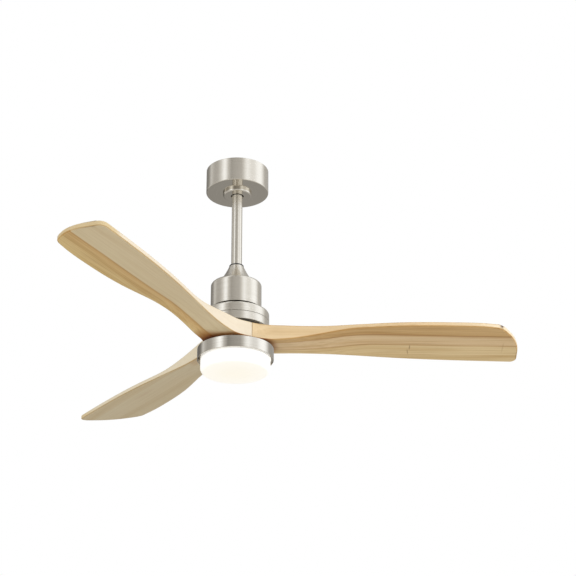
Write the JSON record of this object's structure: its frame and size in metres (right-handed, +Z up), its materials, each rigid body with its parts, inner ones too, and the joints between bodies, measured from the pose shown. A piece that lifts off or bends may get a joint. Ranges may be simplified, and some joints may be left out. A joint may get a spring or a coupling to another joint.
{
  "type": "ceiling fan with light",
  "caption": "Ceiling fan with carved wooden blades on an outer-rotor motor, hung from a straight rod under a round canopy, with a drum light below.",
  "frame": {"origin": "centre of the mounting bracket's top face, on the ceiling plane and on the rod's axis", "axes": "+Z up towards the ceiling, +X to the right in the pictured view, which looks along +Y from below"},
  "size_m": [1.067, 1.1816, 0.5215],
  "materials": {
    "brushed_nickel": "brushed satin nickel plating",
    "natural_wood": "clear matt lacquer on pale solid wood",
    "opal_acrylic": "opal acrylic, lit from inside",
    "zinc_steel": "zinc plated",
    "bearing_steel": "ground steel",
    "black_steel": "black powder coat",
    "black_plastic": "moulded, matt",
    "stator_steel": "coated laminations",
    "copper": "enamelled copper wire",
    "circuit_board": "solder mask",
    "white_board": "white solder mask",
    "led_phosphor": "silicone over phosphor",
    "wire_sheath": "PVC insulation"
  },
  "bodies": {
    "ceiling_mount": {"mounting_bracket": "zinc_steel", "receiver_box": "black_plastic", "canopy": "brushed_nickel", "canopy_screws": "zinc_steel", "canopy_cover": "brushed_nickel"},
    "hanging_frame": {"hanger_ball": "black_plastic", "hanger_pin": "zinc_steel", "ball_set_screw": "zinc_steel", "downrod": "brushed_nickel", "motor_coupling": "black_steel", "clevis_pin": "zinc_steel", "cotter_clip": "zinc_steel", "coupling_set_screws": "zinc_steel", "yoke_cover": "brushed_nickel", "motor_housing": "brushed_nickel", "housing_screws": "zinc_steel", "housing_base_plate": "black_steel", "driver_standoffs": "zinc_steel", "driver_board": "circuit_board", "driver_components": "circuit_board", "motor_shaft": "bearing_steel", "stator_core": "stator_steel", "stator_windings": "copper", "upper_bearing_inner_ring": "bearing_steel", "lower_bearing_inner_ring": "bearing_steel", "light_collar": "black_steel", "light_nut": "zinc_steel", "light_pan": "brushed_nickel", "led_standoffs": "zinc_steel", "led_board": "white_board", "led_chips": "led_phosphor", "led_screws": "zinc_steel", "led_driver": "white_board", "lead_wires": "wire_sheath"},
    "bearing_cages": {"upper_bearing_balls": "bearing_steel", "lower_bearing_balls": "bearing_steel"},
    "rotor": {"upper_bearing_outer_ring": "bearing_steel", "lower_bearing_outer_ring": "bearing_steel", "rotor_upper_shell": "brushed_nickel", "rotor_lower_shell": "brushed_nickel", "rotor_back_iron": "stator_steel", "rotor_magnets": "stator_steel", "blade_mount_plate": "black_steel", "mount_plate_screws": "zinc_steel", "blade_1": "natural_wood", "blade_2": "natural_wood", "blade_3": "natural_wood", "blade_clamp_plate": "black_steel", "blade_screws": "zinc_steel"},
    "light_cover": {"diffuser": "opal_acrylic"}
  },
  "joints": [
    {"name": "hanger_swing", "type": "hinge", "parent": "ceiling_mount", "child": "hanging_frame", "pos_m": [0, 0, -0.03], "axis": [0, 1, 0], "range_deg": [-3, 3]},
    {"name": "rotor_spin", "type": "hinge", "parent": "hanging_frame", "child": "rotor", "pos_m": [0, 0, -0.4165], "axis": [0, 0, 1], "continuous": true},
    {"name": "cage_spin", "type": "hinge", "parent": "hanging_frame", "child": "bearing_cages", "pos_m": [0, 0, -0.382], "axis": [0, 0, 1], "continuous": true},
    {"name": "diffuser_twist", "type": "hinge", "parent": "hanging_frame", "child": "light_cover", "pos_m": [0, 0, -0.5], "axis": [0, 0, 1], "range_deg": [0, 26]}
  ],
  "couplings": [
    {"joint": "cage_spin", "follows": "rotor_spin", "ratio": 0.596}
  ]
}
